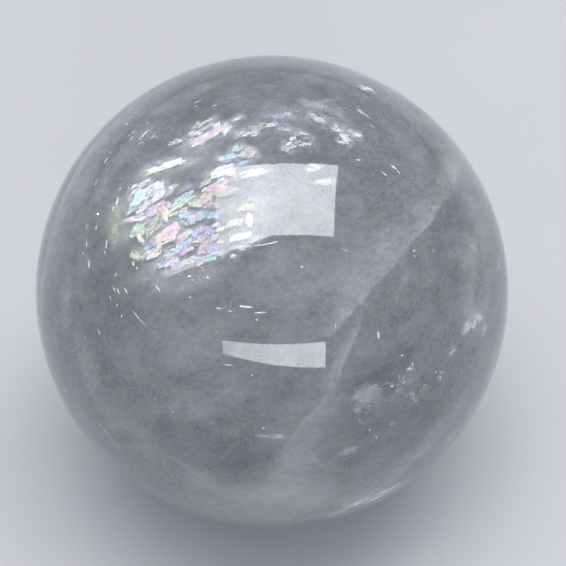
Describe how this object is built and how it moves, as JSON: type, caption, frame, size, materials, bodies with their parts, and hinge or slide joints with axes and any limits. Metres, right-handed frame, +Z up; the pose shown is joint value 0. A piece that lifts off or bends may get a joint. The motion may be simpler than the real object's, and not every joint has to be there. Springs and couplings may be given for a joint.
{
  "type": "calcite sphere",
  "caption": "Polished sphere of hazy, see-through calcite with veils and rainbow fractures inside, standing on a small ground flat; for display or holding in the hand.",
  "frame": {"origin": "middle of the small ground flat that the sphere stands on", "axes": "+Z straight up through the middle of the sphere; the side that the picture shows faces -Y, and +X is to its right"},
  "size_m": [0.065, 0.065, 0.0646],
  "materials": {
    "polished_calcite": "polished, hazy grey-white calcite, see-through with a glassy gloss"
  },
  "bodies": {
    "root": {"calcite_sphere": "polished_calcite"}
  },
  "joints": []
}
